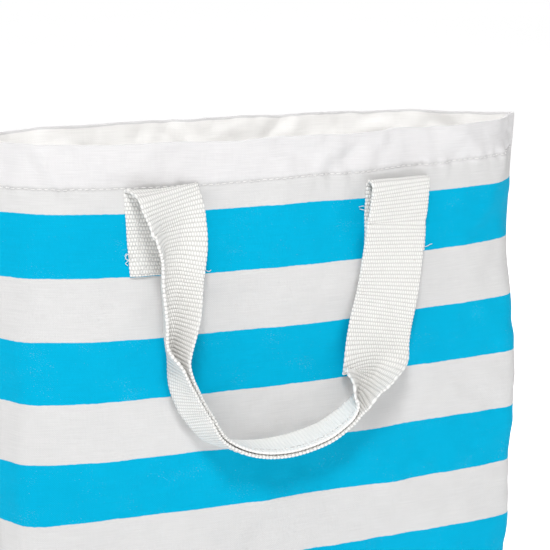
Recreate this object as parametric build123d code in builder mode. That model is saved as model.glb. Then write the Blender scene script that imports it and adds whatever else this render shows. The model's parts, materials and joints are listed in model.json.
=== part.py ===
"""Striped canvas tote bag: two panels, a base, taped seams and two swinging webbing handles.

Millimetres. X runs along the front, Y to the back, Z up. The origin is the middle of the base.
"""
from build123d import *
import math
import os

# ---- driving dimensions ----
bag_height = 385.0
base_width = 306.0
base_depth = 76.0
mouth_width = 332.0
mouth_depth = 82.0
base_corner = 34.0          # how far the front turns before it meets the side seam, at the base
base_toe_angle = 90.0       # angle between the panel's end and the front, at the base
mouth_toe_angle = 42.0      # the same at the mouth, which closes to a point at each side seam

canvas_thickness = 0.8
hem_height = 25.0
hem_stitch_inset = 1.0      # from the hem's lower edge up to its stitches
seam_allowance = 9.0        # the panels' edges that turn in at the side seams
tape_thickness = 0.5
tape_cover = 7.5            # how much of each raw edge the seam tape covers
base_tape_height = 9.0
base_tape_thickness = 2.0
base_tape_gap = 0.4         # between the base tape and the panels
seam_end_gap = 0.5          # between a side seam and the base tape or the hem

webbing_width = 40.0
webbing_thickness = 1.8
handle_spacing = 137.0      # between the middles of a handle's two ends
tab_height = 46.0           # the sewn end of the webbing, below the fold
fold_below_rim = 28.0       # where the webbing folds over and the handle starts to hang
fold_gap = 0.6              # between the sewn tab and the leg that hangs in front of it
tab_side_margin = 4.0       # flat canvas beside each tab

flat_leg_length = 59.0      # from the fold to where the leg starts to gather
grip_radius = 62.0          # middle line of the folded grip, seen from the front
grip_drop = 158.0           # from the fold to the grip's lowest edge
grip_thickness = 4.2        # two layers and the air between them
grip_start_angle = 20.0     # the grip begins this far below its centre's height
grip_wall_gap = 1.2         # between the grip's folded edge and the panel behind it

thread_width = 0.6
thread_height = 0.25
thread_clearance = 0.03     # between a thread and curved cloth or tape under it
tab_stitch_margin = 4.0
grip_stitch_inset = 3.5     # from the grip's open edge
base_stitch_height = 5.0

# ---- values that follow ----
tab_bottom = bag_height - fold_below_rim - tab_height
fold_height = bag_height - fold_below_rim
stitch_height = bag_height - hem_height + hem_stitch_inset
straight_from = tab_bottom - 10.0               # above this the front and back are upright
grip_width = webbing_width / 2                  # the webbing folded lengthwise
mouth_flat = handle_spacing / 2 + webbing_width / 2 + tab_side_margin
base_flat = base_width / 2 - base_corner
panel_face = mouth_depth / 2                    # the panels' outer plane behind the tabs
hinge_y = panel_face + webbing_thickness + fold_gap / 2     # the handles swing about this line
seam_bottom = canvas_thickness + base_tape_height + seam_end_gap
seam_top = bag_height - hem_height - seam_end_gap

os.makedirs("parts", exist_ok=True)


def save(piece, name):
    """Label one finished piece and write it as its own STEP file."""
    piece.label = name
    export_step(piece, f"parts/{name}.step")


# ---- the bag's outline in plan, at any height ----
def mix(low, high, share):
    return low + (high - low) * share


def outline_sizes(height):
    """Half width, half depth, flat half length and toe angle of the outline at a height."""
    rise = height / bag_height
    depth_rise = min(height / straight_from, 1.0)
    return (
        mix(base_width, mouth_width, rise) / 2,
        mix(base_depth, mouth_depth, depth_rise) / 2,
        mix(base_flat, mouth_flat, depth_rise),
        mix(base_toe_angle, mouth_toe_angle, rise),
    )


def outline_half(height, inset):
    """Draw the front half of the outline, moved inwards by inset, between the two side seams."""
    half_width, half_depth, flat, toe = outline_sizes(height)
    toe_rad = math.radians(toe)
    tip = half_width - inset / math.sin(toe_rad)
    face = -(half_depth - inset)
    Spline(
        (-tip, 0), (-flat, face),
        tangents=((math.cos(toe_rad), -math.sin(toe_rad)), (1, 0)),
    )
    Line((-flat, face), (flat, face))
    Spline(
        (flat, face), (tip, 0),
        tangents=((1, 0), (math.cos(toe_rad), math.sin(toe_rad))),
    )
    return tip


def half_band(height, outer_inset, inner_inset):
    """The strip between two insets of the front half of the outline."""
    with BuildSketch(Plane.XY.offset(height)) as band:
        with BuildLine():
            outer_tip = outline_half(height, outer_inset)
            inner_tip = outline_half(height, inner_inset)
            Line((-outer_tip, 0), (-inner_tip, 0))
            Line((inner_tip, 0), (outer_tip, 0))
        make_face()
    return band.sketch


def seam_x(height, from_seam):
    """Distance from the middle to a line a given way in from the side seam."""
    return outline_sizes(height)[0] - from_seam


def seam_start(height):
    """A line inside the canvas at the panel's end, where the turned-in edge begins."""
    toe = math.radians(outline_sizes(height)[3])
    return seam_x(height, canvas_thickness / math.tan(toe) + canvas_thickness * 0.2)


def corner_face(height, *corners):
    """A level face through its corners."""
    with BuildSketch(Plane.XY.offset(height)) as face:
        with BuildLine():
            Polyline(*corners, close=True)
        make_face()
    return face.sketch


def box_face(height, x_from, x_to, y_from, y_to):
    """A level rectangle between two places along X and two along Y."""
    return corner_face(height, (x_from, y_from), (x_to, y_from), (x_to, y_to), (x_from, y_to))


# ---- canvas panels ----
panel_levels = (canvas_thickness, bag_height * 0.35, straight_from, stitch_height, bag_height)
seam_levels = (seam_bottom, bag_height * 0.35, straight_from, seam_top)
hem_levels = (bag_height - hem_height, bag_height)
raw_edge = canvas_thickness + seam_allowance    # how far the turned-in edge reaches from the seam

with BuildPart() as front_panel:
    loft([half_band(level, 0, canvas_thickness) for level in panel_levels], ruled=True)
    loft([half_band(level, canvas_thickness / 2, 2 * canvas_thickness) for level in hem_levels], ruled=True)
    for side in (-1, 1):
        loft([box_face(level, side * seam_start(level), side * seam_x(level, raw_edge), -canvas_thickness, 0)
              for level in seam_levels], ruled=True)
save(front_panel.part, "front_panel")

with BuildPart() as back_panel:
    mirror(front_panel.part, about=Plane.XZ)
save(back_panel.part, "back_panel")

with BuildPart() as base_panel:
    with BuildSketch():
        with BuildLine():
            base_tip = outline_half(canvas_thickness, 0)
            Line((base_tip, 0), (-base_tip, 0))
        make_face()
        mirror(about=Plane.XZ)
    extrude(amount=canvas_thickness)
save(base_panel.part, "base_panel")

# ---- seam tapes ----
tape_half = canvas_thickness + tape_thickness


def tape_face(side, level):
    """The folded tape's section round the two raw edges."""
    edge = side * seam_x(level, raw_edge)
    outer = side * seam_x(level, raw_edge + tape_thickness)
    cover = side * seam_x(level, raw_edge - tape_cover)
    return corner_face(
        level,
        (outer, -tape_half), (cover, -tape_half), (cover, -canvas_thickness), (edge, -canvas_thickness),
        (edge, canvas_thickness), (cover, canvas_thickness), (cover, tape_half), (outer, tape_half),
    )


for side, side_name in ((-1, "left"), (1, "right")):
    with BuildPart() as side_tape:
        loft([tape_face(side, level) for level in seam_levels], ruled=True)
    save(side_tape.part, f"{side_name}_seam_tape")

base_tape_outside = canvas_thickness + base_tape_gap
base_tape_inside = base_tape_outside + base_tape_thickness
base_tape_levels = (canvas_thickness, canvas_thickness + base_tape_height)
with BuildPart() as base_tape:
    loft([half_band(level, base_tape_outside, base_tape_inside) for level in base_tape_levels], ruled=True)
    mirror(about=Plane.XZ)
save(base_tape.part, "base_seam_tape")

# ---- threads of the hem and the seams ----
with BuildPart() as hem_stitching:
    extrude(half_band(stitch_height, -thread_clearance - thread_height, -thread_clearance),
            amount=thread_width)
    mirror(about=Plane.XZ)
save(hem_stitching.part, "hem_stitching")

thread_from_seam = raw_edge - tape_cover / 2
for side, side_name in ((-1, "left"), (1, "right")):
    with BuildPart() as side_stitching:
        for face in (-1, 1):
            loft([box_face(level,
                           side * seam_x(level, thread_from_seam),
                           side * seam_x(level, thread_from_seam + thread_width),
                           face * tape_half,
                           face * (tape_half + thread_height))
                  for level in seam_levels], ruled=True)
    save(side_stitching.part, f"{side_name}_seam_stitching")

base_thread_outside = base_tape_inside + thread_clearance
with BuildPart() as base_stitching:
    extrude(half_band(canvas_thickness + base_stitch_height,
                      base_thread_outside, base_thread_outside + thread_height), amount=thread_width)
    mirror(about=Plane.XZ)
save(base_stitching.part, "base_seam_stitching")


# ---- the sewn ends of the webbing ----
tab_length = tab_height - fold_gap / 2
tab_middle = tab_bottom + tab_length / 2
box_width = webbing_width - 2 * tab_stitch_margin
box_height = tab_length - 2 * tab_stitch_margin
diagonal = math.hypot(box_width, box_height) - thread_width
diagonal_angle = math.degrees(math.atan2(box_height, box_width))


def upright(face, y):
    """A plane across the bag at a distance y from its middle, facing out of the front or the back."""
    return Plane(origin=(0, face * y, 0), x_dir=(-face, 0, 0), z_dir=(0, face, 0))


for face, face_name in ((-1, "front"), (1, "back")):
    for side, side_name in ((-1, "left"), (1, "right")):
        tab_place = Locations((side * -face * handle_spacing / 2, tab_middle))
        with BuildPart() as tab:
            with BuildSketch(upright(face, panel_face)):
                with tab_place:
                    Rectangle(webbing_width, tab_length)
            extrude(amount=webbing_thickness)
        save(tab.part, f"{face_name}_{side_name}_tab")

        with BuildPart() as tab_stitching:
            with BuildSketch(upright(face, panel_face + webbing_thickness)):
                with tab_place:
                    Rectangle(box_width, box_height)
                    Rectangle(box_width - 2 * thread_width, box_height - 2 * thread_width,
                              mode=Mode.SUBTRACT)
                    Rectangle(diagonal, thread_width, rotation=diagonal_angle)
                    Rectangle(diagonal, thread_width, rotation=-diagonal_angle)
            extrude(amount=thread_height)
        save(tab_stitching.part, f"{face_name}_{side_name}_tab_stitching")


# ---- handles, as they hang ----
leg_y = hinge_y + fold_gap / 2 + webbing_thickness / 2
grip_low = fold_height - grip_drop
grip_face = max(panel_face, outline_sizes(grip_low)[1])    # the panel's outer face behind the grip
grip_y = grip_face + grip_wall_gap + grip_width / 2
grip_height = grip_low + grip_thickness / 2 + grip_radius
leg_top = fold_height - fold_gap / 2
gather_top = fold_height - flat_leg_length


def level_plane(side, x, y, z):
    """A level plane with its X direction away from the middle of the bag."""
    return Plane(origin=(x, y, z), x_dir=(side, 0, 0))


def grip_end_plane(face, side):
    """The plane across the grip where it meets a leg."""
    turn = math.radians(grip_start_angle)
    out = (side * math.cos(turn), 0, -math.sin(turn))
    origin = (grip_radius * out[0], face * grip_y, grip_height + grip_radius * out[2])
    return Plane(origin=origin, x_dir=out, z_dir=(side * math.sin(turn), 0, math.cos(turn)))


for face, face_name in ((-1, "front"), (1, "back")):
    for side, side_name in ((-1, "left"), (1, "right")):
        leg_x = side * handle_spacing / 2
        grip_end = grip_end_plane(face, side)
        half_gathered = level_plane(
            side,
            mix(leg_x, grip_end.origin.X, 0.5),
            face * mix(leg_y, grip_y, 0.5),
            mix(gather_top, grip_end.origin.Z, 0.5),
        )
        with BuildPart() as leg:
            with BuildSketch(level_plane(side, leg_x, face * leg_y, gather_top)) as leg_foot:
                Rectangle(webbing_width, webbing_thickness)
            extrude(amount=leg_top - gather_top)
            with BuildSketch(half_gathered) as gathering:
                Rectangle(mix(webbing_width, grip_thickness, 0.5), mix(webbing_thickness, grip_width, 0.5))
            with BuildSketch(grip_end) as leg_end:
                Rectangle(grip_thickness, grip_width)
            loft([leg_foot.sketch, gathering.sketch, leg_end.sketch], ruled=True)
        save(leg.part, f"{face_name}_handle_{side_name}_leg")

    with BuildPart() as grip:
        with BuildSketch(upright(face, grip_y - grip_width / 2)):
            with BuildLine():
                outer = CenterArc((0, grip_height), grip_radius + grip_thickness / 2,
                                  180 + grip_start_angle, 180 - 2 * grip_start_angle)
                inner = CenterArc((0, grip_height), grip_radius - grip_thickness / 2,
                                  180 + grip_start_angle, 180 - 2 * grip_start_angle)
                Line(outer @ 0, inner @ 0)
                Line(outer @ 1, inner @ 1)
            make_face()
        extrude(amount=grip_width)
    save(grip.part, f"{face_name}_handle_grip")

    with BuildPart() as grip_stitching:
        stitch_from = grip_y + grip_width / 2 - grip_stitch_inset
        for surface in (grip_radius + grip_thickness / 2, grip_radius - grip_thickness / 2 - thread_height):
            with BuildSketch(upright(face, stitch_from)):
                with BuildLine():
                    far = CenterArc((0, grip_height), surface + thread_height,
                                    180 + grip_start_angle, 180 - 2 * grip_start_angle)
                    near = CenterArc((0, grip_height), surface,
                                     180 + grip_start_angle, 180 - 2 * grip_start_angle)
                    Line(far @ 0, near @ 0)
                    Line(far @ 1, near @ 1)
                make_face()
            extrude(amount=thread_width)
    save(grip_stitching.part, f"{face_name}_handle_stitching")
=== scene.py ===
"""Striped canvas tote bag with two webbing handles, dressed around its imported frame.

The shape functions work in millimetres and every mesh is scaled to metres as it is made.
"""
import json
import math

import bmesh
import bpy
import numpy as np
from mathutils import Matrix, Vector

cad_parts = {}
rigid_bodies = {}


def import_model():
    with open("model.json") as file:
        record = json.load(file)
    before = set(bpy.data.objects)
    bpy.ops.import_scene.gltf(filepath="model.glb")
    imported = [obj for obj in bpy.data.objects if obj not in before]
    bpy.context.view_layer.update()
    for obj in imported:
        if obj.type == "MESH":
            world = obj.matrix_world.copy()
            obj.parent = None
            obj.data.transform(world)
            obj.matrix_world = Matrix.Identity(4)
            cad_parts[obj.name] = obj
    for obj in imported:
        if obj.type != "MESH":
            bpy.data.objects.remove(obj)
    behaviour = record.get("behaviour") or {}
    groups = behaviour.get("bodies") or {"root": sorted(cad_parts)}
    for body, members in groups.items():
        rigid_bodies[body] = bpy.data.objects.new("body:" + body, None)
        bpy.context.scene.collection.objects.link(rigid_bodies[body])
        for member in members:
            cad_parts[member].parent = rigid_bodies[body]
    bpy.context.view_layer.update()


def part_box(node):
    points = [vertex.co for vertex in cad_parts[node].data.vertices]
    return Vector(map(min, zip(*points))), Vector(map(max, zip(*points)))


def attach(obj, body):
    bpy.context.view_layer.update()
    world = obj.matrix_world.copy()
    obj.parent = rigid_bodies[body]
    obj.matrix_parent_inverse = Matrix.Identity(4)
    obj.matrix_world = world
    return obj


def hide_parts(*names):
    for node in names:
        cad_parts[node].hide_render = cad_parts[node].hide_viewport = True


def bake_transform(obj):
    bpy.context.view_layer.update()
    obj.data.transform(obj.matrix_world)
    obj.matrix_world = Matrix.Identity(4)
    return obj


for stray in list(bpy.data.objects):
    bpy.data.objects.remove(stray)
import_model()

# ---- camera ----
bpy.context.scene.view_settings.view_transform = "Standard"
camera = bpy.data.objects.new("camera", bpy.data.cameras.new("camera"))
camera.data.sensor_width = 36.0
camera.data.lens = 98.2
camera.location = (-0.297, -0.794, 0.509)
# it looks 14 degrees down and is turned 21.1 degrees to the right
camera.rotation_euler = (math.radians(90.0 - 14.0), 0.0, math.radians(-21.1))
bpy.context.collection.objects.link(camera)
bpy.context.scene.camera = camera

# ---- sizes from the frame, in millimetres ----
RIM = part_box("front_panel")[1].z * 1000.0
TAB_LOW, TAB_TOP = (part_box("front_left_tab")[i].z * 1000.0 for i in (0, 1))
TAB_X = (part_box("front_right_tab")[0].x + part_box("front_right_tab")[1].x) * 500.0
HALF_WIDTH = (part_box("front_right_tab")[1].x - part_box("front_right_tab")[0].x) * 500.0
CLOTH = 0.8                                     # thickness of the canvas
WEBBING = 1.8                                   # thickness of the webbing
RIB_PITCH = 2.2                                 # from one rib of the webbing to the next
HEM = 25.0                                      # how deep the top edge is turned in
STITCH_Z = 361.0                                # where the hem's stitches start, at the left seam
STRIPE = 35.0                                   # height of each printed or bare band
FIRST_STRIPE = 54.5                             # from the rim down to the middle of the first blue band
BASE_DEPTH = 76.0                               # front to back
PANEL_RUN = 350.0                               # about the length of a panel from seam to seam
GRIP_SEAM = 16.8                                # from the strip's middle to the grip's stitches
BOX_LOW, BOX_HIGH, BOX_HALF = 4.5, 41.0, 15.5   # the sewn ends' box of stitches
END_RISE = 43.0                                 # height over which a sewn end leans
RIGHT_END_IN = 1.8                              # how far the right sewn end stands nearer the middle
BACK_BOW = 4.5                                  # how much further out the back handle's top hangs


# ---- curves ----
def smooth_curve(points, at):
    """A smooth curve through points, read at positions counted in points."""
    points = np.asarray(points, float)
    count = len(points)
    at = np.clip(np.asarray(at, float), 0, count - 1 - 1e-9)
    index = at.astype(int)
    share = (at - index).reshape(at.shape + (1,) * (points.ndim - 1))
    longer = np.concatenate([[2 * points[0] - points[1]], points, [2 * points[-1] - points[-2]]])
    a, b, c, d = (longer[index + k] for k in range(4))
    return 0.5 * (2 * b + (c - a) * share + (2 * a - 5 * b + 4 * c - d) * share**2
                  + (3 * b - a - 3 * c + d) * share**3)


def lengths_along(points):
    """Distance from the first point to each point of a line."""
    return np.concatenate([[0], np.cumsum(np.linalg.norm(np.diff(points, axis=0), axis=1))])


def unit(vectors):
    return vectors / np.maximum(np.linalg.norm(vectors, axis=-1, keepdims=True), 1e-9)


def ramp(value, low, high):
    """0 below low, 1 above high and smooth between them."""
    share = np.clip((value - low) / (high - low), 0, 1)
    return share * share * (3 - 2 * share)


def ripples(x, z, size, seed, slant=(0.0, math.pi), count=16):
    """Uneven waves of about one size, some seeded directions between the two slants."""
    rng = np.random.default_rng(seed)
    total = np.zeros(np.broadcast(x, z).shape)
    for _ in range(count):
        turn = rng.uniform(*slant)
        rate = 2 * math.pi / (size * rng.uniform(0.7, 1.6))
        total += np.sin(rate * (x * math.cos(turn) + z * math.sin(turn)) + rng.uniform(0, 2 * math.pi))
    return total / math.sqrt(count / 2)


# ---- the bag's cloth ----
# Plan outlines of each panel from the left seam to the right seam, at six heights.
FRONT_OUTLINES = {
    0: [(-153, 0), (-151, -22), (-138, -35), (-92, -38), (0, -38),
        (92, -38), (138, -35), (151, -22), (153, 0)],
    80: [(-157, 0), (-155, -18), (-142, -31), (-93, -35), (0, -37.5),
         (93, -36), (142, -33), (155, -24), (158, 0)],
    173: [(-161, 0), (-156, -12), (-142, -26), (-94, -33), (0, -36.5),
          (94, -35), (140, -32.5), (156, -26), (161, 0)],
    245: [(-160, 0), (-153, -12), (-139, -25), (-94, -35.5), (0, -40),
          (94, -33.5), (137, -29), (156, -24), (165, 0)],
    320: [(-159, 0), (-150, -12), (-134, -24), (-93, -37.5), (0, -45),
          (93, -37), (135, -28.5), (151, -19), (162.6, 0)],
    385: [(-160, 0), (-150, -8), (-133, -22), (-94, -36.5), (0, -45),
          (93, -36.5), (135, -29), (152, -17), (166, 0)],
}
BACK_OUTLINES = {
    0: [(-153, 0), (-151, 22), (-138, 35), (-92, 38), (0, 38),
        (92, 38), (138, 35), (151, 22), (153, 0)],
    80: [(-157, 0), (-155, 18), (-142, 31), (-93, 35), (0, 37),
         (93, 36), (142, 32), (155, 22), (158, 0)],
    173: [(-161, 0), (-156, 12), (-142, 26), (-94, 33), (0, 35.5),
          (94, 34), (140, 29), (156, 20), (161, 0)],
    245: [(-160, 0), (-156, 14), (-142, 28), (-94, 37.5), (0, 38),
          (94, 35), (137, 25), (155, 14), (165, 0)],
    320: [(-159, 0), (-157, 15), (-145, 30), (-95, 40), (0, 41),
          (93, 38), (135, 21), (152, 10), (162.6, 0)],
    385: [(-160, 0), (-158, 17), (-147, 33), (-96, 42), (0, 43.5),
          (93, 38), (135, 17), (152, 9), (166, 0)],
}
# Creases as x, height, slant in degrees, half length, half width and how far they stand out.
FRONT_CREASES = [
    (-150, 376, 15, 16, 6, -1.3), (-127, 372, -62, 14, 4.5, 1.5), (-134, 370, -62, 13, 4.5, -1.3),
    (-61, 380, 5, 9, 3.5, -1.1), (-47, 373, -12, 13, 4.5, -1.3), (-94, 365, 0, 11, 4, -1.1),
    (-8, 380, -15, 13, 4, -1.1), (38, 373, 36, 13, 4.5, -1.5), (24, 372, 38, 15, 5.5, 1.5),
    (66, 379, 40, 9, 4, -1.3), (104, 376, 20, 12, 5, 0.9), (142, 356, 62, 20, 6, 1.4),
    (-145, 300, -18, 16, 6, -1.1), (-97, 296, 35, 14, 5, -1.0), (-30, 300, 12, 26, 8, -0.8),
    (20, 292, -8, 22, 8, 0.8), (112, 296, 25, 18, 6, -1.0), (128, 330, 50, 18, 7, 1.0),
    (-20, 230, 6, 34, 10, -0.8), (40, 244, 18, 26, 9, 0.7), (118, 226, -12, 20, 8, -0.9),
    (-120, 236, 22, 26, 9, 0.9), (-132, 176, -14, 24, 8, -0.9), (90, 165, 15, 30, 10, -0.9),
    (-60, 140, -20, 34, 12, 1.0), (30, 120, 10, 36, 12, -0.9), (136, 110, 74, 40, 8, 1.3),
    (-138, 96, 104, 38, 8, 1.2), (-30, 60, 8, 40, 12, 0.9), (84, 52, -14, 30, 10, -0.9),
]
BACK_CREASES = [
    (-118, 372, -30, 15, 5, -1.6), (-96, 366, 35, 15, 5, 1.3), (-38, 372, -48, 14, 5, 1.5),
    (-26, 368, -48, 14, 5, -1.5), (-6, 376, 30, 12, 4, -1.2), (22, 370, 40, 16, 6, 1.5),
    (34, 376, 42, 14, 5, -1.8), (86, 374, 12, 14, 4, -1.2), (104, 366, 55, 18, 6, -1.6),
    (-130, 300, 24, 26, 8, -1.2), (-20, 306, -10, 34, 10, 1.0), (110, 300, 62, 30, 8, 1.3),
    (40, 250, 16, 34, 11, -1.0), (-70, 238, -12, 34, 11, 1.0), (130, 214, 84, 40, 9, 1.2),
    (-138, 190, 96, 40, 9, 1.2), (0, 170, 6, 44, 13, -0.9), (76, 130, -18, 34, 11, 1.0),
    (-66, 104, 14, 36, 12, -0.9), (20, 60, -6, 40, 12, 0.8), (120, 60, 30, 30, 9, -1.0),
]


def crease_height(creases, x, z):
    total = np.zeros(x.shape)
    for cx, cz, slant, long_way, short_way, height in creases:
        turn = math.radians(slant)
        along = (x - cx) * math.cos(turn) + (z - cz) * math.sin(turn)
        across = (z - cz) * math.cos(turn) - (x - cx) * math.sin(turn)
        total += height * np.exp(-((along / long_way) ** 2) - (across / short_way) ** 2)
    return total


def stitch_line(x):
    """Height of the hem's stitches, which climb a little towards the right."""
    return np.interp(x, (-160, -40, 90, 166), (STITCH_Z, 361.8, 363.8, 364.8))


class Wall:
    """One panel's outer surface, wrinkled, with its normals, on a fine grid."""

    COLUMNS = 281

    def __init__(self, outlines, face, creases, seed):
        known = sorted(outlines)
        self.heights = np.arange(0.0, RIM + 0.5)
        levels = np.interp(self.heights, known, np.arange(len(known)))
        controls = smooth_curve([outlines[k] for k in known], levels)
        dense = np.linspace(0, controls.shape[1] - 1, 400)
        self.shares = np.linspace(0, 1, self.COLUMNS)
        rows, runs = [], []
        for control in controls:
            line = smooth_curve(control, dense)
            run = lengths_along(line)
            rows.append(np.column_stack([np.interp(self.shares * run[-1], run, line[:, k]) for k in (0, 1)]))
            runs.append(run[-1])
        plan = np.array(rows)
        runs = np.array(runs)[:, None]
        tangent = unit(np.gradient(plan, axis=1))
        outward = face * np.stack([-tangent[..., 1], tangent[..., 0]], -1)
        x = plan[..., 0]
        z = np.repeat(self.heights[:, None], self.COLUMNS, 1)
        from_seam = np.minimum(self.shares, 1 - self.shares)[None] * runs
        free = ramp(from_seam, 0, 14) * ramp(z, 0, 14)
        in_hem = ramp(z, 350, 366)
        line_z = stitch_line(x)
        puckers = np.exp(-((z - line_z) / 5.0) ** 2)
        bumps = (
            0.8 * ripples(x, z, 75, seed)
            + 0.28 * ripples(x, z, 26, seed + 1)
            + 0.12 * ripples(x, z, 13, seed + 5)
            + 0.40 * in_hem * ripples(x, z, 21, seed + 2, (0.2, 1.3))
            + 0.22 * in_hem * ripples(x, z, 11, seed + 6)
            + 0.35 * puckers * ripples(x, z, 8, seed + 3, (-0.7, 0.7))
            - 0.60 * np.exp(-((z - line_z) / 1.2) ** 2)
            + 1.35 * crease_height(creases, x, z)
        )
        bumps = bumps * free - 1.6 * (1 - ramp(z, -3, 3.5))
        plan = plan + outward * bumps[..., None]
        plan[..., 0] -= np.sign(x) * 1.4 * np.exp(-((from_seam / 1.9) ** 2))
        rise = 0.3 * ripples(x[-1], 0 * x[-1], 60, seed + 4, (0, 0.01)) * ramp(from_seam[-1], 0, 22)
        z = z + rise[None] * ramp(z, 300, RIM)
        self.points = np.dstack([plan, z])
        upward, rightward = (np.gradient(self.points, axis=k) for k in (0, 1))
        self.normals = unit(face * np.cross(upward, rightward))
        self.run = float(runs.mean())

    def read(self, grid, share, z):
        i = np.clip(z, 0, len(self.heights) - 1.001)
        j = np.clip(share * (self.COLUMNS - 1), 0, self.COLUMNS - 1.001)
        i0, j0 = i.astype(int), j.astype(int)
        a, b = (i - i0)[..., None], (j - j0)[..., None]
        return ((grid[i0, j0] * (1 - b) + grid[i0, j0 + 1] * b) * (1 - a)
                + (grid[i0 + 1, j0] * (1 - b) + grid[i0 + 1, j0 + 1] * b) * a)

    def at(self, share, z, depth=0.0):
        """Points a share of the way along the panel, at a height and a depth into the cloth."""
        share, z, depth = np.broadcast_arrays(*(np.asarray(v, float) for v in (share, z, depth)))
        return self.read(self.points, share, z) - unit(self.read(self.normals, share, z)) * depth[..., None]

    def share_at(self, x, z):
        """The share of the way along the panel where it has that x."""
        x, z = np.broadcast_arrays(np.asarray(x, float), np.asarray(z, float))
        rows = np.clip(np.rint(z), 0, len(self.heights) - 1).astype(int)
        found = [np.interp(a, self.points[r, :, 0], self.shares) for a, r in zip(x.ravel(), rows.ravel())]
        return np.array(found).reshape(x.shape)


walls = {
    "front": Wall(FRONT_OUTLINES, -1, FRONT_CREASES, 11),
    "back": Wall(BACK_OUTLINES, 1, BACK_CREASES, 47),
}


# ---- mesh making ----
AROUND = np.linspace(0, 2 * math.pi, 7)[:-1]    # the angles of a thread's outline


def new_piece(name, points, faces, material, attribute=None):
    """A mesh object in metres from points in millimetres, with its normals facing out."""
    mesh = bpy.data.meshes.new(name)
    mesh.from_pydata((np.asarray(points, float).reshape(-1, 3) * 0.001).tolist(), [], faces)
    if attribute is not None:
        layer = mesh.attributes.new("cloth", "FLOAT_VECTOR", "POINT")
        layer.data.foreach_set("vector", np.asarray(attribute, np.float32).ravel())
    work = bmesh.new()
    work.from_mesh(mesh)
    bmesh.ops.recalc_face_normals(work, faces=work.faces)
    work.to_mesh(mesh)
    work.free()
    mesh.polygons.foreach_set("use_smooth", [True] * len(mesh.polygons))
    mesh.materials.append(material)
    piece = bpy.data.objects.new(name, mesh)
    bpy.context.collection.objects.link(piece)
    return piece


def tube_faces(rows, ring, capped=True):
    """Quads between rows of closed rings, and a face over each end."""
    grid = np.arange(rows * ring).reshape(rows, ring)
    beside = np.roll(grid, -1, axis=1)
    quads = np.stack([grid[:-1], beside[:-1], beside[1:], grid[1:]], -1).reshape(-1, 4).tolist()
    return quads + ([grid[0].tolist(), grid[-1][::-1].tolist()] if capped else [])


def stitch_piece(name, lines, material, pitch=4.0, length=2.7, radius=0.3, seed=5):
    """Separate stitches, each a small rounded dash, along lines of points with the cloth's normals."""
    rng = np.random.default_rng(seed)
    ends = np.array([(-0.5, 0.25), (-0.42, 0.8), (-0.15, 1.0), (0.15, 1.0), (0.42, 0.8), (0.5, 0.25)])
    points, faces = [], []
    for line, normal in lines:
        run = lengths_along(line)
        for middle in np.arange(pitch / 2, run[-1], pitch):
            here = middle + rng.uniform(-0.15, 0.15)
            span = length * rng.uniform(0.88, 1.08)
            a, m, b = (np.array([np.interp(s, run, line[:, k]) for k in range(3)])
                       for s in (here - span / 2, here, here + span / 2))
            up = unit(np.array([np.interp(here, run, normal[:, k]) for k in range(3)]))
            ahead = unit(b - a)
            aside = unit(np.cross(up, ahead) + rng.uniform(-0.05, 0.05) * ahead)
            first = len(points)
            for place, size in ends:
                centre = m + (b - a) * place + up * radius * 0.5 * (1 - (2 * place) ** 2)
                for turn in AROUND:
                    points.append(centre + radius * size * (math.cos(turn) * aside + math.sin(turn) * up))
            faces += [[first + i for i in f] for f in tube_faces(len(ends), len(AROUND))]
    return new_piece(name, points, faces, material)


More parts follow.
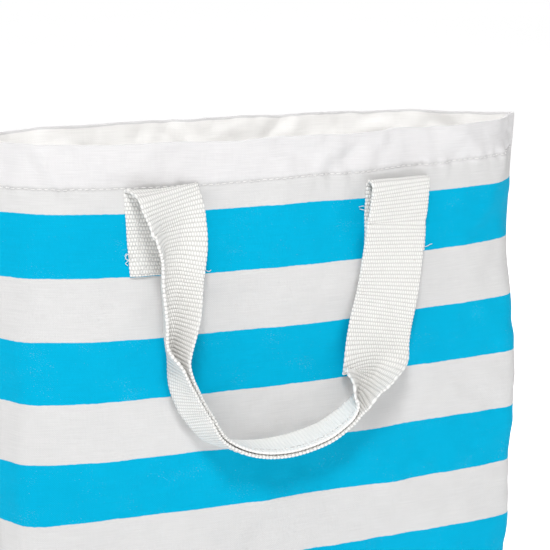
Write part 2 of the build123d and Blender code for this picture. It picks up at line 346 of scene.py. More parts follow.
# ---- materials ----
class Nodes:
    """Shorthand for building one material's nodes."""

    def __init__(self, name):
        self.material = bpy.data.materials.new(name)
        self.material.use_nodes = True
        self.tree = self.material.node_tree
        self.shader = self.tree.nodes["Principled BSDF"]

    def add(self, kind, settings=(), **inputs):
        node = self.tree.nodes.new(kind)
        for key, value in dict(settings).items():
            setattr(node, key, value)
        for key, value in inputs.items():
            socket = node.inputs[int(key[1:])] if key[0] == "i" and key[1:].isdigit() else node.inputs[key]
            if isinstance(value, bpy.types.NodeSocket):
                self.tree.links.new(value, socket)
            else:
                socket.default_value = value
        return node

    def math(self, operation, *values):
        inputs = {f"i{k}": v for k, v in enumerate(values)}
        return self.add("ShaderNodeMath", {"operation": operation}, **inputs).outputs[0]

    def step(self, value, low, high):
        """A smooth 0 to 1 as value goes from low to high."""
        return self.add("ShaderNodeMapRange", {"interpolation_type": "SMOOTHSTEP"},
                        i0=value, i1=low, i2=high).outputs[0]

    def noise(self, where, scale, detail=2.0):
        return self.add("ShaderNodeTexNoise", i0=where, Scale=scale, Detail=detail).outputs[0]

    def mix(self, share, a, b):
        node = self.add("ShaderNodeMix", {"data_type": "RGBA"}, i0=share)
        for socket, value in ((node.inputs[6], a), (node.inputs[7], b)):
            if isinstance(value, bpy.types.NodeSocket):
                self.tree.links.new(value, socket)
            else:
                socket.default_value = (*value, 1.0)
        return node.outputs[2]

    def shade(self, colour, share, low, high):
        """The colour made darker or lighter, from low to high as share goes from 0 to 1."""
        level = self.add("ShaderNodeMapRange", i0=share, i3=low, i4=high).outputs[0]
        grey = self.add("ShaderNodeCombineColor", i0=level, i1=level, i2=level).outputs[0]
        node = self.add("ShaderNodeMix", {"data_type": "RGBA", "blend_type": "MULTIPLY"}, i0=1.0)
        self.tree.links.new(colour, node.inputs[6])
        self.tree.links.new(grey, node.inputs[7])
        return node.outputs[2]

    def cloth(self):
        """The piece's own cloth coordinates in millimetres, and them one by one.

        On a panel they are along, down from the rim, and 1 outside or 0 inside. On the webbing they are
        along, across, and how far its ribs are flattened.
        """
        attribute = self.add("ShaderNodeAttribute", {"attribute_name": "cloth"})
        split = self.add("ShaderNodeSeparateXYZ", i0=attribute.outputs["Vector"])
        return attribute.outputs["Vector"], split.outputs[0], split.outputs[1], split.outputs[2]

    def scaled(self, where, x, y, z):
        return self.add("ShaderNodeVectorMath", {"operation": "MULTIPLY"}, i0=where, i1=(x, y, z)).outputs[0]

    def finish(self, colour, roughness, height=None, distance=0.0003, strength=1.0, sheen=0.0):
        self.tree.links.new(colour, self.shader.inputs["Base Color"])
        if isinstance(roughness, bpy.types.NodeSocket):
            self.tree.links.new(roughness, self.shader.inputs["Roughness"])
        else:
            self.shader.inputs["Roughness"].default_value = roughness
        self.shader.inputs["Specular IOR Level"].default_value = 0.04
        self.shader.inputs["Sheen Weight"].default_value = sheen
        self.shader.inputs["Sheen Roughness"].default_value = 0.6
        if height is not None:
            bump = self.add("ShaderNodeBump", Height=height, Distance=distance, Strength=strength)
            self.tree.links.new(bump.outputs[0], self.shader.inputs["Normal"])
        return self.material


def weave_height(n, along, down, pitch):
    """A plain weave: warp and weft threads that pass over each other by turns."""
    rate = math.pi / pitch
    a = n.math("SINE", n.math("MULTIPLY", along, rate))
    b = n.math("SINE", n.math("MULTIPLY", down, rate))
    over = n.math("MULTIPLY", a, b)
    warp = n.math("ABSOLUTE", n.math("SINE", n.math("MULTIPLY", along, rate * 2)))
    weft = n.math("ABSOLUTE", n.math("SINE", n.math("MULTIPLY", down, rate * 2)))
    return n.math("ADD", n.math("MULTIPLY", over, 0.4), n.math("MULTIPLY", n.math("ADD", warp, weft), 0.3))


def canvas_material():
    n = Nodes("printed_canvas")
    where, along, down, side = n.cloth()
    wobble = n.noise(n.scaled(where, 0.35, 0.35, 0), 1.0, 3.0)
    edge = n.math("ADD", down, n.math("MULTIPLY", n.math("SUBTRACT", wobble, 0.5), 0.7))
    # bands as high as the gaps between them: five are printed blue
    offset = n.math("WRAP", n.math("SUBTRACT", edge, FIRST_STRIPE), STRIPE, -STRIPE)
    band = n.step(n.math("ABSOLUTE", offset), STRIPE / 2 + 0.25, STRIPE / 2 - 0.25)
    below = n.step(edge, 30.0, 31.0)
    outer = n.step(side, 0.4, 0.6)
    slubs = n.noise(n.scaled(where, 0.06, 1.9, 0), 1.0, 2.0)
    warp_slubs = n.noise(n.scaled(where, 1.7, 0.07, 0), 1.0, 2.0)
    specks = n.noise(n.scaled(where, 1.1, 2.6, 0), 1.0, 1.0)
    worn = n.noise(n.scaled(where, 0.045, 0.06, 0), 1.0, 3.0)
    uneven = n.math("MULTIPLY", n.math("SUBTRACT", worn, 0.5), 0.5)
    missed = n.step(n.math("ADD", specks, uneven), 0.71, 0.88)
    print_share = n.math("MULTIPLY", n.math("MULTIPLY", band, below), outer)
    print_share = n.math("MULTIPLY", print_share, n.math("SUBTRACT", 1.0, n.math("MULTIPLY", missed, 0.4)))
    tone = n.noise(n.scaled(where, 0.018, 0.03, 0), 1.0, 3.0)
    white = n.mix(tone, (0.70, 0.695, 0.69), (0.64, 0.635, 0.635))
    seeds = n.step(n.noise(n.scaled(where, 0.9, 0.9, 0), 1.0, 0.0), 0.83, 0.87)
    white = n.mix(n.math("MULTIPLY", seeds, 0.25), white, (0.50, 0.43, 0.33))
    blue = n.mix(tone, (0.0, 0.43, 0.68), (0.0, 0.385, 0.63))
    # the outside hem band is lighter: partly its doubled cloth, partly painted light falling from above
    white = n.mix(n.step(down, HEM, HEM - 5.0), white, (0.73, 0.72, 0.725))
    # painted light: the inside face is much lighter than the same white cloth outside, standing in for light
    # inside the bag
    white = n.mix(outer, (0.96, 0.95, 0.935), white)
    colour = n.mix(print_share, white, blue)
    # painted shade: the cloth is darkened along the hem's stitched groove
    groove_shade = n.add("ShaderNodeAttribute", {"attribute_name": "groove_shade"}).outputs["Fac"]
    colour = n.shade(colour, groove_shade, 1.0, 0.84)
    colour = n.shade(colour, slubs, 0.90, 1.08)
    colour = n.shade(colour, warp_slubs, 0.96, 1.03)
    weave = weave_height(n, along, down, 0.62)
    # painted shade: the weave's low spots are darkened in colour
    colour = n.shade(colour, weave, 0.95, 1.02)
    height = n.math("ADD", n.math("MULTIPLY", weave, 0.6), n.math("MULTIPLY", slubs, 0.5))
    rough = n.math("SUBTRACT", 0.9, n.math("MULTIPLY", print_share, 0.2))
    return n.finish(colour, rough, height, 0.00016, 0.7)


def webbing_material():
    n = Nodes("ribbed_webbing")
    where, along, across, smoothness = n.cloth()
    row = n.math("FLOOR", n.math("DIVIDE", along, RIB_PITCH))
    odd = n.math("MODULO", n.math("ABSOLUTE", row), 2.0)
    shifted = n.math("ADD", across, n.math("MULTIPLY", odd, 0.75))
    bead = n.math("ABSOLUTE", n.math("SINE", n.math("MULTIPLY", shifted, math.pi / 1.5)))
    bead = n.math("POWER", bead, 0.6)
    rib = n.math("ABSOLUTE", n.math("SINE", n.math("MULTIPLY", along, math.pi / RIB_PITCH)))
    rib = n.math("POWER", rib, 0.55)
    height = n.math("MULTIPLY", rib, bead)
    fibres = n.noise(n.scaled(where, 4.5, 1.2, 1), 1.0, 2.0)
    tone = n.noise(n.scaled(where, 0.05, 0.05, 1), 1.0, 2.0)
    colour = n.mix(tone, (0.97, 0.96, 0.935), (0.91, 0.90, 0.875))
    # painted shade: the gaps between ribs and beads are darkened in colour, less where the ribs are
    # flattened
    faint = n.math("SUBTRACT", 1.0, n.math("MULTIPLY", smoothness, 0.7))
    flat = n.math("MULTIPLY", n.math("SUBTRACT", 1.0, height), faint)
    colour = n.shade(colour, flat, 1.0, 0.64)
    colour = n.shade(colour, fibres, 0.94, 1.03)
    # painted shade of the needle holes and stitch groove along the grip's sewn edges
    row = n.step(n.math("ABSOLUTE", n.math("SUBTRACT", n.math("ABSOLUTE", across), GRIP_SEAM)), 0.75, 0.35)
    hole_shade = n.step(n.math("SINE", n.math("MULTIPLY", along, 2 * math.pi / 1.9)), 0.2, 0.8)
    colour = n.shade(colour, n.math("MULTIPLY", n.math("MULTIPLY", row, hole_shade), smoothness), 1.0, 0.62)
    flecks = n.step(n.noise(n.scaled(where, 0.8, 0.8, 1), 1.0, 0.0), 0.83, 0.86)
    colour = n.mix(n.math("MULTIPLY", flecks, 0.5), colour, (0.45, 0.36, 0.27))
    ribbed = n.math("SUBTRACT", 1.0, n.math("MULTIPLY", smoothness, 0.6))
    bump = n.math("ADD", n.math("MULTIPLY", height, ribbed), n.math("MULTIPLY", fibres, 0.15))
    return n.finish(colour, 0.88, bump, 0.0005, 0.8, sheen=0.15)


def tape_material():
    n = Nodes("seam_tape")
    where, along, across, _ = n.cloth()
    weave = weave_height(n, along, across, 0.5)
    tone = n.noise(n.scaled(where, 0.06, 0.2, 0), 1.0, 2.0)
    # painted shade: the tape's weave valleys are darkened in colour
    colour = n.shade(n.mix(tone, (0.84, 0.84, 0.82), (0.77, 0.77, 0.76)), weave, 0.92, 1.02)
    return n.finish(colour, 0.9, weave, 0.00012, 0.7)


def thread_material():
    n = Nodes("sewing_thread")
    place = n.add("ShaderNodeTexCoord").outputs["Object"]
    twist = n.add("ShaderNodeTexWave", {"bands_direction": "DIAGONAL"}, i0=place, Scale=900.0).outputs[1]
    tone = n.noise(place, 60.0)
    # painted shade: the thread's twist grooves are darkened in colour
    colour = n.shade(n.mix(tone, (0.90, 0.89, 0.88), (0.80, 0.79, 0.78)), twist, 0.86, 1.0)
    return n.finish(colour, 0.6, twist, 0.0001, 0.5)


canvas = canvas_material()
webbing = webbing_material()
tape = tape_material()
thread = thread_material()


# ---- canvas panels: outer wall, rounded rim, hem and inner wall in one closed cloth ----
def panel_piece(side_name):
    wall = walls[side_name]
    shares = np.concatenate([[0, 0.0022, 0.005, 0.0085], np.linspace(0.013, 0.987, 166),
                             [0.9915, 0.995, 0.9978, 1]])
    line_z = stitch_line(wall.at(shares, STITCH_Z)[:, 0])
    hem_z = line_z - 1.0
    profile = []            # height and depth as arrays over the columns, and 1 outside or 0 inside
    flat = np.ones_like(shares)
    for z in np.concatenate([[0.0, 1.0], np.arange(2.0, 356.0, 2.0)]):
        profile.append((z * flat, 0 * flat, 1))
    for offset in (-3.6, -2.4, -1.6, -1.0, -0.5, 0.0, 0.5, 1.0, 1.6, 2.4, 3.6):
        profile.append((line_z + offset, 0 * flat, 1))
    for z in np.arange(370.0, RIM - 1.0, 1.8):
        profile.append((z * flat, 0 * flat, 1))
    half = CLOTH * 1.2
    for turn in np.linspace(0.0, math.pi, 8):
        height, depth = RIM - half + half * math.sin(turn), half - half * math.cos(turn)
        profile.append((height * flat, depth * flat, 1))
    for step in np.linspace(0.06, 1.0, 12):
        profile.append(((RIM - half) * (1 - step) + (hem_z + 0.6) * step, 2 * half * flat, 0))
    profile.append((hem_z + 0.15, 2 * half * flat - 0.15, 0))
    profile.append((hem_z, 1.5 * half * flat, 0))
    profile.append((hem_z - 0.25, CLOTH * 1.05 * flat, 0))
    for step in np.linspace(0.008, 1.0, 92):
        profile.append(((hem_z - 0.25) * (1 - step) + 1.0 * step, CLOTH * flat, 0))
    points = np.array([wall.at(shares, z, depth) for z, depth, _ in profile])
    facts = np.array([np.column_stack([(shares - 0.5) * wall.run, RIM - z, side * flat])
                      for z, depth, side in profile])
    rows, columns = points.shape[:2]
    piece = new_piece(f"{side_name}_canvas", points.transpose(1, 0, 2), tube_faces(columns, rows),
                      canvas, facts.transpose(1, 0, 2))
    # painted shade along the hem's stitched groove, as a mask for the canvas colour
    groove_shade = np.array([np.exp(-((z - line_z) / 0.8) ** 2) for z, depth, side in profile])
    layer = piece.data.attributes.new("groove_shade", "FLOAT", "POINT")
    layer.data.foreach_set("value", groove_shade.T.ravel().astype(np.float32))
    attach(piece, "bag")
    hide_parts(f"{side_name}_panel")
    return piece


panels = [panel_piece(side_name) for side_name in walls]


def base_piece():
    shares = np.linspace(0.0, 1.0, 121)
    front, back = (walls[s].at(shares, 0.6, 0.4) for s in ("front", "back"))
    across = np.concatenate([[0.0, 0.012], np.linspace(0.03, 0.97, 23), [0.988, 1.0]])
    plan = front[:, None] * (1 - across[None, :, None]) + back[:, None] * across[None, :, None]
    plan = plan * np.array([0.994, 0.985, 0.0])
    lift = 0.55 * (1 + 0.6 * ripples(plan[..., 0], plan[..., 1], 60, 91))
    lift = np.clip(lift, 0.05, 1.4) * ramp(np.minimum(across, 1 - across)[None] * BASE_DEPTH, 0, 8)
    low, high = plan.copy(), plan.copy()
    low[..., 2] = 0.05 + lift
    high[..., 2] = 0.05 + CLOTH + lift
    ring = np.concatenate([low, high[:, ::-1]], axis=1)
    # the base takes the inside face's lighter white, which is painted light
    facts = np.dstack([ring[..., 0], 420.0 + ring[..., 1], 0 * ring[..., 0]])
    piece = new_piece("base_canvas", ring, tube_faces(ring.shape[0], ring.shape[1]), canvas, facts)
    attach(piece, "bag")
    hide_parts("base_panel")
    return piece


base = base_piece()


# ---- seam tapes inside, with their stitches ----
def rounded_section(half_long, half_thick, count=20):
    """A flat rounded bar's outline, as distances along and across."""
    turn = np.linspace(0, 2 * math.pi, count, endpoint=False)
    c, s = np.cos(turn), np.sin(turn)
    return np.sign(c) * half_long * np.abs(c) ** 0.35, np.sign(s) * half_thick * np.abs(s) ** 0.6


def side_tape(side_name, side, share):
    node = f"{side_name}_seam_tape"
    low, high = (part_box(node)[i].z * 1000.0 for i in (0, 1))
    z = np.arange(low, high, 2.5)
    seam = (walls["front"].at(np.full(z.shape, share), z) + walls["back"].at(np.full(z.shape, share), z)) / 2
    along, across = rounded_section(5.2, 1.25)
    wave = 0.9 * ripples(z, 0 * z, 55, 61 + side)
    reach = 7.6 + 0.35 * ripples(z, 0 * z, 30, 71 + side)
    points = np.zeros((len(z), len(along), 3))
    points[..., 0] = seam[:, 0, None] - side * (reach[:, None] + along)
    points[..., 1] = across + wave[:, None] * (along + 5.2) / 10.4
    points[..., 2] = z[:, None]
    facts = np.dstack([points[..., 2], 5.2 + np.repeat(along[None], len(z), 0), 0 * points[..., 0]])
    piece = new_piece(f"{side_name}_binding", points, tube_faces(len(z), len(along)),
                      tape, facts)
    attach(piece, "bag")
    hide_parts(node)
    lines = []
    for face in (-1, 1):
        line = np.column_stack([seam[:, 0] - side * (reach + 1.6), face * 1.2 + wave * 0.65, z])
        lines.append((line, np.tile([0.0, face, 0.0], (len(z), 1))))
    stitches = stitch_piece(f"{side_name}_binding_stitches", lines, thread, radius=0.26, seed=81 + side)
    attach(stitches, "bag")
    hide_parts(f"{side_name}_seam_stitching")


side_tape("left", -1, 0.0)
side_tape("right", 1, 1.0)


def base_tape():
    low, high = (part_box("base_seam_tape")[i].z * 1000.0 for i in (0, 1))
    along, across = rounded_section((high - low) / 2 - 0.3, 0.8)
    points, faces, facts = [], [], []
    lines = []
    for name, wall in walls.items():
        shares = np.linspace(0.015, 0.985, 150)
        wave = 0.25 * (1 + ripples(shares * PANEL_RUN, 0 * shares, 40, 33))
        z = (low + high) / 2 + 0.4 + along[None] + 0.2 * wave[:, None]
        depth = 2.4 + across[None] + wave[:, None]
        ring = wall.at(np.repeat(shares[:, None], len(along), 1), z, depth)
        first = sum(len(p) for p in points)
        points.append(ring.reshape(-1, 3))
        facts.append(np.dstack([np.repeat(shares[:, None] * PANEL_RUN, len(along), 1),
                                z, 0 * z]).reshape(-1, 3))
        faces += [[first + i for i in f] for f in tube_faces(len(shares), len(along))]
        line = wall.at(shares, 0 * shares + low + 5.3, 3.25 + wave)
        lines.append((line, unit(line - wall.at(shares, 0 * shares + low + 5.3, 0))))
    piece = new_piece("base_binding", np.concatenate(points), faces,
                      tape, np.concatenate(facts))
    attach(piece, "bag")
    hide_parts("base_seam_tape")
    stitches = stitch_piece("base_binding_stitches", lines, thread, radius=0.26, seed=90)
    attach(stitches, "bag")
    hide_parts("base_seam_stitching")


base_tape()


def hem_stitches():
    lines = []
    for wall in walls.values():
        shares = np.linspace(0.008, 0.992, 300)
        z = stitch_line(wall.at(shares, STITCH_Z)[:, 0])
        for depth, face in ((-0.04, 1), (CLOTH * 2.4 + 0.04, -1)):
            lines.append((wall.at(shares, z, depth), face * unit(wall.read(wall.normals, shares, z))))
    piece = stitch_piece("hem_stitches", lines, thread, pitch=3.8, length=2.6, radius=0.33, seed=15)
    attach(piece, "bag")
    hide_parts("hem_stitching")


hem_stitches()

# ---- webbing ----
EDGE = np.array([0.0, 0.08, 0.35, 0.8, 1.5])
ACROSS = np.concatenate([-HALF_WIDTH + EDGE, np.linspace(-HALF_WIDTH + 3.0, HALF_WIDTH - 3.0, 25),
                         (HALF_WIDTH - EDGE)[::-1]])


def webbing_ring(middle, normal, aside, along, calm=None):
    """Closed rings round a ribbed strip, row by row, with its cloth coordinates.

    middle, normal and aside are rows by columns, aside points to the last column, and calm is how far
    the ribs are flattened there.
    """
    near_edge = np.clip((HALF_WIDTH - np.abs(ACROSS)) / 0.9, 0, 1)
    thick = np.sqrt(np.clip(1 - (1 - near_edge) ** 2, 0, 1))
    phase = np.abs(np.sin(math.pi * along / RIB_PITCH)) ** 0.7
    calm = np.zeros(middle.shape[:2]) if calm is None else calm
    rib = (0.26 * (phase[:, None] - 0.7)) * (1 - 0.6 * calm)
    half = (WEBBING / 2 + rib) * thick[None]
    at_edge = ramp(np.abs(ACROSS), HALF_WIDTH - 2.5, HALF_WIDTH)
    edge_out = (0.28 * (phase[:, None] - 0.5)) * np.sign(ACROSS)[None] * at_edge
    centre = middle + aside * edge_out[..., None]
    outer = centre + normal * half[..., None]
    inner = (centre - normal * half[..., None])[:, -2:0:-1]
    points = np.concatenate([outer, inner], axis=1)
    across = np.concatenate([ACROSS, ACROSS[-2:0:-1]])
    calm = np.concatenate([calm, calm[:, -2:0:-1]], axis=1)
    facts = np.dstack([np.repeat(along[:, None], len(across), 1),
                       np.repeat(across[None], len(along), 0), calm])
    return points, facts


# Left leg, grip and right leg: x, y, z of the strip's middle, the turn of its open side (0 forward,
# 90 to the inside of the loop) and half the angle it is folded by.
HANDLE = np.array([
    (-70.3, -53.2, 359.0, 23, 0), (-69.0, -52.4, 347, 24, 24), (-68.6, -50.4, 331, 25, 43),
    (-70.6, -49.0, 312, 21, 56), (-69.9, -47.4, 294, 13, 66), (-69.6, -46.4, 281, 4, 74),
    (-69.5, -46.0, 274, 5, 81), (-69.5, -45.8, 267, 12, 88), (-69.2, -45.2, 254, 28, 90),
    (-66.0, -44.6, 242.5, 34, 90.5), (-60, -43.6, 231.3, 34, 90.5), (-47.5, -42.8, 217.5, 21, 90.5),
    (-27, -42, 212, 1, 90.5), (-5, -41.5, 211.4, -8, 90), (17, -41.5, 215.6, -8, 90),
    (31.5, -41.8, 222.8, -4, 90), (38.6, -42.3, 228, 1, 89), (43, -43, 232, 3, 84),
    (46.2, -44, 236.3, 4, 72), (49.0, -44, 240.6, 2, 50), (51.6, -44, 245, 0, 22),
    (53.4, -44, 252, 0, 6), (57.0, -44, 274, -1, 4), (61.5, -44.5, 296, -4, 2),
    (65.2, -45.9, 330, -9, 0), (66.2, -47.6, 346, -11, 0), (66.3, -48.6, 354.8, -12, 0),
])


def handle_surface(spacing):
    """The hanging strip's middle surface and its normals, row by row along its length."""
    dense = smooth_curve(HANDLE, np.linspace(0, len(HANDLE) - 1, 4000))
    run = lengths_along(dense[:, :3])
    along = np.linspace(0, run[-1], int(run[-1] / spacing))
    key = np.stack([np.interp(along, run, dense[:, k]) for k in range(5)], -1)
    path = key[:, :3]
    for before, height, deep in ((True, 342.0, 0.5), (False, 333.0, 1.0)):
        on_leg = (path[:, 0] < 0) == before
        path[:, 1] += deep * on_leg * np.exp(-((path[:, 2] - height) / 3.0) ** 2)
    ahead = unit(np.gradient(path, axis=0))
    back = np.array([0.0, 1.0, 0.0])
    inside = unit(np.cross(ahead, back))
    forward = np.cross(ahead, inside)
    forward = np.where((forward @ back)[:, None] > 0, -forward, forward)
    turn = np.radians(key[:, 3])[:, None]
    half_fold = np.radians(np.clip(key[:, 4], 0, 91))
    # low on the right leg the outer half folds up sooner than the inner half
    low_right = ramp(path[:, 0], 20, 40)
    outer_fold, inner_fold = (np.interp(along + ahead_by * low_right, along, half_fold)
                              for ahead_by in (-14.0, 2.5))
    opening = np.cos(turn) * forward + np.sin(turn) * inside
    aside = np.cross(opening, ahead)
    fine = np.linspace(0, HALF_WIDTH, 201)
    steps = np.diff(fine)
    middle = np.zeros((len(along), len(ACROSS), 3))
    normal = np.zeros_like(middle)
    for i in range(len(along)):
        for fold, columns in ((outer_fold[i], ACROSS <= 0), (inner_fold[i], ACROSS > 0)):
            lean = fold * ramp(fine, 0, np.interp(math.degrees(fold), (0, 30, 60, 88), (20, 14, 7, 2.4)))
            out = np.concatenate([[0], np.cumsum((np.cos(lean[1:]) + np.cos(lean[:-1])) / 2 * steps)])
            up = np.concatenate([[0], np.cumsum((np.sin(lean[1:]) + np.sin(lean[:-1])) / 2 * steps)])
            sign, size = np.sign(ACROSS[columns]), np.abs(ACROSS[columns])
            here = (sign * np.interp(size, fine, lean))[:, None]
            middle[i, columns] = (path[i] + (sign * np.interp(size, fine, out))[:, None] * aside[i]
                                  + np.interp(size, fine, up)[:, None] * opening[i])
            normal[i, columns] = -np.sin(here) * aside[i] + np.cos(here) * opening[i]
    # and the inner selvedge hangs lower before it turns in
    drop = 6.5 * low_right * np.exp(-(((path[:, 2] - 251.0) / 8.5) ** 2))
    middle[..., 2] -= drop[:, None] * np.clip(ACROSS / HALF_WIDTH, 0, 1) ** 1.5
    return along, middle, normal


def tab_surface(side_name, x_middle, z):
    """The sewn end's middle surface on the wall, rows by height."""
    wall = walls[side_name]
    share = wall.share_at(x_middle[:, None] + ACROSS[None], z[:, None] + 0 * ACROSS[None])
    heights = z[:, None] + 0 * ACROSS[None]
    return wall.at(share, heights, -WEBBING / 2 - 0.12), unit(wall.read(wall.normals, share, heights))


def fold_surface(start, end, rows, spread, inner_rise):
    """A loop from the sewn end's top, over the fold and down to the leg's top, row by row."""
    gap = np.linalg.norm((end - start)[:, :2], axis=1)
    lift = np.zeros_like(start)
    lift[:, 2] = 1.0 + spread * gap + inner_rise * ramp(ACROSS, -10, HALF_WIDTH)
    share = np.linspace(0, 1, rows)[:, None, None]
    return ((1 - share) ** 3 * start + 3 * (1 - share) ** 2 * share * (start + lift)
            + 3 * (1 - share) * share**2 * (end + lift) + share**3 * end)


def make_handle(side_name, face):
    """The sewn ends, and the folds, legs and grip as one strip. The back one is the front one turned."""
    spacing = RIB_PITCH / 5
    turned = np.array([1.0, 1.0, 1.0]) if face < 0 else np.array([-1.0, -1.0, 1.0])
    body = f"{side_name}_handle"
    along, middle, normal = handle_surface(spacing)
    middle, normal = middle * turned, normal * turned
    if face > 0:
        # the back wall bows out further up there
        middle[..., 1] += BACK_BOW * ramp(middle[..., 2], 240, 320)
    surfaces, tabs = [], []
    for end in (0, -1):
        x_middle = float(np.sign(middle[end, :, 0].mean()) * (TAB_X - (0.0 if end == 0 else RIGHT_END_IN)))
        node_side = "left" if x_middle < 0 else "right"
        order = 1 if middle[end, -1, 0] > middle[end, 0, 0] else -1      # the strip's columns against x
        top = middle[end, len(ACROSS) // 2, 2]
        z = np.append(np.arange(TAB_LOW + 2.8, top - 0.1, spacing), top)
        tilt = -2.6 * (z - TAB_LOW - 4.0) / END_RISE if end == 0 else 0.4 * (z - TAB_LOW) / END_RISE
        surface, outward = tab_surface(side_name, x_middle - face * tilt, z)
        surface, outward = surface[:, ::order], outward[:, ::order]
        surface[:6] -= outward[:6] * (0.25 * np.linspace(1, 0, 6))[:, None, None]
        side_way = unit(np.gradient(surface, axis=1))
        points, facts = webbing_ring(surface, outward, side_way, z - top)
        tab = new_piece(f"{side_name}_{node_side}_webbing_end", points, tube_faces(*points.shape[:2]),
                        webbing, facts)
        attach(tab, "bag")
        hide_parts(f"{side_name}_{node_side}_tab")
        tabs.append(tab)
        low_left, low_right = (-BOX_HALF, BOX_LOW), (BOX_HALF, BOX_LOW)
        top_left, top_right = (-BOX_HALF, BOX_HIGH), (BOX_HALF, BOX_HIGH)
        box = [low_left, low_right, top_right, top_left, low_left]
        lines = []
        for corners in (box, [low_left, top_right], [top_left, low_right]):
            for (x0, z0), (x1, z1) in zip(corners[:-1], corners[1:]):
                share = np.linspace(0, 1, 30)
                xs, zs = x_middle + x0 + (x1 - x0) * share, TAB_LOW + z0 + (z1 - z0) * share
                wall = walls[side_name]
                us = wall.share_at(xs, zs)
                lines.append((wall.at(us, zs, -WEBBING - 0.28), unit(wall.read(wall.normals, us, zs))))
        stitches = stitch_piece(f"{side_name}_{node_side}_end_stitches", lines, thread,
                                pitch=3.4, length=2.3, radius=0.27, seed=120 + face + end)
        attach(stitches, "bag")
        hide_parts(f"{side_name}_{node_side}_tab_stitching")
        tabs.append(stitches)
        shape = (0.14, 1.8) if end == 0 else (0.34, 0.6)                # spread and inner_rise
        loop = fold_surface(surface[-1], middle[end], 64, *shape)
        rows = int(lengths_along(loop[:, loop.shape[1] // 2])[-1] / spacing)
        loop = fold_surface(surface[-1], middle[end], max(rows, 12), *shape)[:-1]
        surfaces.append(loop)
    first, last = surfaces[0], surfaces[1][::-1]
    whole = np.concatenate([first, middle, last])
    measured = lengths_along(whole[:, len(ACROSS) // 2])
    whole_normal = unit(np.cross(np.gradient(whole, axis=0), np.gradient(whole, axis=1)))
    agreement = (whole_normal[len(first):len(first) + len(middle)] * normal).sum()
    whole_normal *= np.sign(agreement)
    side_way = unit(np.gradient(whole, axis=1))
    # the ribs are flattened where the grip is folded shut, counted from the first fold
    leg_top = measured[len(first)]
    grip = ramp(measured, leg_top + 145, leg_top + 175)
    grip = grip * (1 - ramp(measured, leg_top + 236, leg_top + 252))
    calm = grip[:, None] * (ACROSS > 0)[None]
    points, facts = webbing_ring(whole, whole_normal, side_way, measured, calm)
    strip = new_piece(f"{side_name}_webbing", points, tube_faces(*points.shape[:2]),
                      webbing, facts)
    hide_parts(*(f"{body}_{part}" for part in ("left_leg", "grip", "right_leg")))
    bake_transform(strip)
    lines = []
    low = np.array([i for i in range(len(along)) if abs(middle[i, len(ACROSS) // 2, 0]) < 43
                    and middle[i, len(ACROSS) // 2, 2] < 235])
    for across in (-GRIP_SEAM, GRIP_SEAM):
        column = int(np.argmin(np.abs(ACROSS - across)))
        line = middle[low, column] - normal[low, column] * (WEBBING / 2 + 0.12)
        lines.append((line, -normal[low, column]))
    stitches = stitch_piece(f"{side_name}_grip_stitches", lines, thread,
                            pitch=3.8, length=2.6, radius=0.28, seed=140 + face)
    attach(stitches, body)
    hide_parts(f"{body}_stitching")
    return float(measured[-1])


for side_name, face in (("front", -1), ("back", 1)):
    length = make_handle(side_name, face)
    print(f"{side_name} webbing between its folds: {length:.1f} mm")

for piece, name in zip(panels, walls):
    print(f"{name} panel is {walls[name].run:.1f} mm from seam to seam")


def loose_threads():
    """Cut thread ends beside the sewn ends of the front handle: x, height and how far off the cloth."""
    wall = walls["front"]
    trails = [
        [(-87.6, 326.5, 1.2), (-89.8, 325.8, 1.6), (-90.6, 323.9, 1.9), (-88.9, 322.9, 2.3),
         (-88.0, 324.7, 2.6), (-89.9, 326.4, 2.0), (-91.0, 324.9, 1.2)],
        [(-87.6, 323.4, 1.2), (-89.6, 322.0, 1.3), (-90.6, 320.8, 0.9), (-89.4, 319.6, 0.6)],
        [(87.4, 315.4, 0.8), (89.2, 315.8, 0.7), (91.2, 316.5, 0.5), (92.4, 316.6, 0.4)],
        [(49.0, 343.0, 1.6), (45.8, 343.8, 1.3), (43.4, 343.2, 0.7)],
        [(49.0, 341.0, 1.6), (46.0, 341.4, 1.1), (44.0, 342.0, 0.6)],
        [(-48.0, 315.0, 0.8), (-46.2, 314.2, 0.7), (-45.0, 314.9, 0.5)],
    ]
    points, faces = [], []
    for trail in trails:
        trail = smooth_curve(trail, np.linspace(0, len(trail) - 1, 8 * len(trail)))
        line = wall.at(wall.share_at(trail[:, 0], trail[:, 1]), trail[:, 1], -trail[:, 2])
        ahead = unit(np.gradient(line, axis=0))
        up = unit(np.cross(ahead, np.array([0.3, 1.0, 0.2])))
        aside = np.cross(ahead, up)
        ring = line[:, None] + 0.2 * (np.cos(AROUND)[None, :, None] * up[:, None]
                                      + np.sin(AROUND)[None, :, None] * aside[:, None])
        first = len(AROUND) * sum(len(p) for p in points)
        points.append(ring)
        faces += [[first + i for i in f] for f in tube_faces(len(ring), len(AROUND))]
    piece = new_piece("loose_threads", np.concatenate(points), faces, thread)
    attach(piece, "bag")


loose_threads()

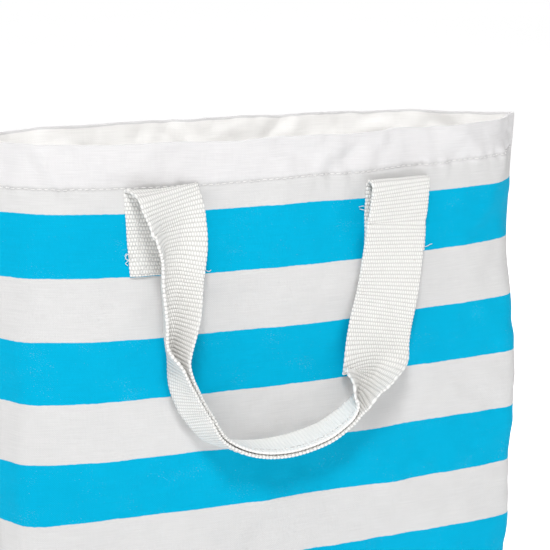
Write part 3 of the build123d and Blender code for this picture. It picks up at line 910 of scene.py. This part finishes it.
# ---- floor and light ----
floor_material = Nodes("pale_floor")
place = floor_material.add("ShaderNodeTexCoord").outputs["Object"]
floor_colour = floor_material.mix(floor_material.noise(place, 0.8), (0.80, 0.80, 0.80), (0.83, 0.83, 0.83))
floor_material.finish(floor_colour, 0.9)
floor_material.shader.inputs["Emission Color"].default_value = (1.0, 1.0, 1.0, 1.0)
floor_material.shader.inputs["Emission Strength"].default_value = 0.60
floor_mesh = bpy.data.meshes.new("floor")
floor_mesh.from_pydata([(-9, -9, 0), (9, -9, 0), (9, 9, 0), (-9, 9, 0)], [], [(0, 1, 2, 3)])
floor_mesh.materials.append(floor_material.material)
floor = bpy.data.objects.new("floor", floor_mesh)
bpy.context.collection.objects.link(floor)

# a sky that is brightest overhead, a little to the left and in front
world = bpy.data.worlds.new("studio")
world.use_nodes = True
sky = world.node_tree
backdrop = sky.nodes["Background"]
towards = sky.nodes.new("ShaderNodeVectorMath")
towards.operation = "DOT_PRODUCT"
towards.inputs[1].default_value = (-0.45, -0.15, 0.88)
level = sky.nodes.new("ShaderNodeMapRange")
for socket, value in zip(level.inputs[1:5], (-1.0, 1.0, 0.0, 0.62)):
    socket.default_value = value
sky.links.new(sky.nodes.new("ShaderNodeTexCoord").outputs["Generated"], towards.inputs[0])
sky.links.new(towards.outputs["Value"], level.inputs[0])
sky.links.new(level.outputs[0], backdrop.inputs[1])
backdrop.inputs[0].default_value = (1.0, 1.0, 1.0, 1.0)
bpy.context.scene.world = world


def softbox(name, place, aim, size, watts):
    lamp = bpy.data.lights.new(name, "AREA")
    lamp.shape = "RECTANGLE"
    lamp.size, lamp.size_y = size
    lamp.energy = watts
    holder = bpy.data.objects.new(name, lamp)
    holder.location = place
    from_here = np.array(aim) - np.array(place)
    flat = math.hypot(from_here[0], from_here[1])
    holder.rotation_euler = (math.atan2(flat, -from_here[2]), 0.0, math.atan2(-from_here[0], from_here[1]))
    bpy.context.collection.objects.link(holder)


softbox("key_light", (-0.34, -0.92, 1.30), (0.0, 0.0, 0.30), (0.26, 0.26), 11.4)
softbox("back_light", (0.5, 1.2, 1.3), (0.0, 0.0, 0.25), (0.7, 0.7), 19.0)
